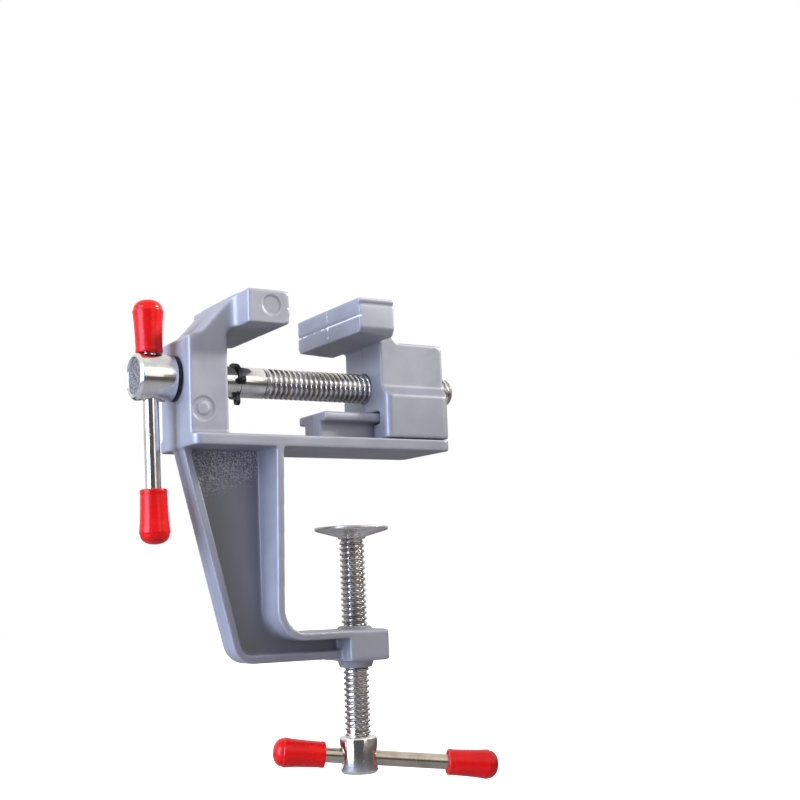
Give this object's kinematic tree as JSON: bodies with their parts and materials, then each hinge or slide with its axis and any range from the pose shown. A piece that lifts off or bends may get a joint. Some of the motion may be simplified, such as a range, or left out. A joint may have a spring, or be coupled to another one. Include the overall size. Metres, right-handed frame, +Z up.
{
  "type": "table vise",
  "caption": "Small clamp-on table vise: cast C-frame with a fixed jaw, a sliding jaw on a T-rail moved by a screw, and a clamp screw with a pressure pad, each with a capped tommy bar.",
  "frame": {"origin": "on the clamp screw axis, in the plane of the table seat under the plate", "axes": "+X along the jaw screw from its head to the movable jaw, +Y to the back, +Z up"},
  "size_m": [0.0969, 0.035, 0.1281],
  "materials": {
    "paint": "casting with a satin grey coat",
    "plated": "plated steel",
    "blackened": "blackened steel",
    "cap": "soft red vinyl"
  },
  "bodies": {
    "frame": {"vise_frame": "paint"},
    "jaw": {"movable_jaw": "paint"},
    "jaw_screw": {"jaw_screw": "plated", "thrust_washer": "blackened", "retaining_clip": "blackened"},
    "jaw_bar": {"jaw_bar": "plated", "jaw_bar_cap_top": "cap", "jaw_bar_cap_bottom": "cap"},
    "pad": {"pressure_pad": "plated"},
    "clamp_screw": {"clamp_screw": "plated"},
    "clamp_bar": {"clamp_bar": "plated", "clamp_bar_cap_left": "cap", "clamp_bar_cap_right": "cap"}
  },
  "joints": [
    {"name": "jaw_screw_turn", "type": "hinge", "parent": "frame", "child": "jaw_screw", "pos_m": [-0.057, 0, 0.018], "axis": [1, 0, 0], "range_deg": [-2401, 4801]},
    {"name": "jaw_slide", "type": "slide", "parent": "frame", "child": "jaw", "axis": [1, 0, 0], "range_m": [-0.02, 0.01]},
    {"name": "jaw_bar_slide", "type": "slide", "parent": "jaw_screw", "child": "jaw_bar", "axis": [-0.014, 0, 0.9999], "range_m": [0, 0.0218]},
    {"name": "clamp_lift", "type": "slide", "parent": "frame", "child": "pad", "axis": [0, 0, 1], "range_m": [-0.0225, 0.0165]},
    {"name": "clamp_screw_turn", "type": "hinge", "parent": "pad", "child": "clamp_screw", "pos_m": [0, 0, -0.08], "axis": [0, 0, 1], "range_deg": [-5401, 3961]},
    {"name": "clamp_bar_slide", "type": "slide", "parent": "clamp_screw", "child": "clamp_bar", "axis": [0.9221, -0.3726, -0.1045], "range_m": [-0.0182, 0.0034]}
  ],
  "couplings": [
    {"joint": "jaw_screw_turn", "follows": "jaw_slide", "rad_per_m": -4188.8},
    {"joint": "clamp_screw_turn", "follows": "clamp_lift", "rad_per_m": 4188.8}
  ]
}
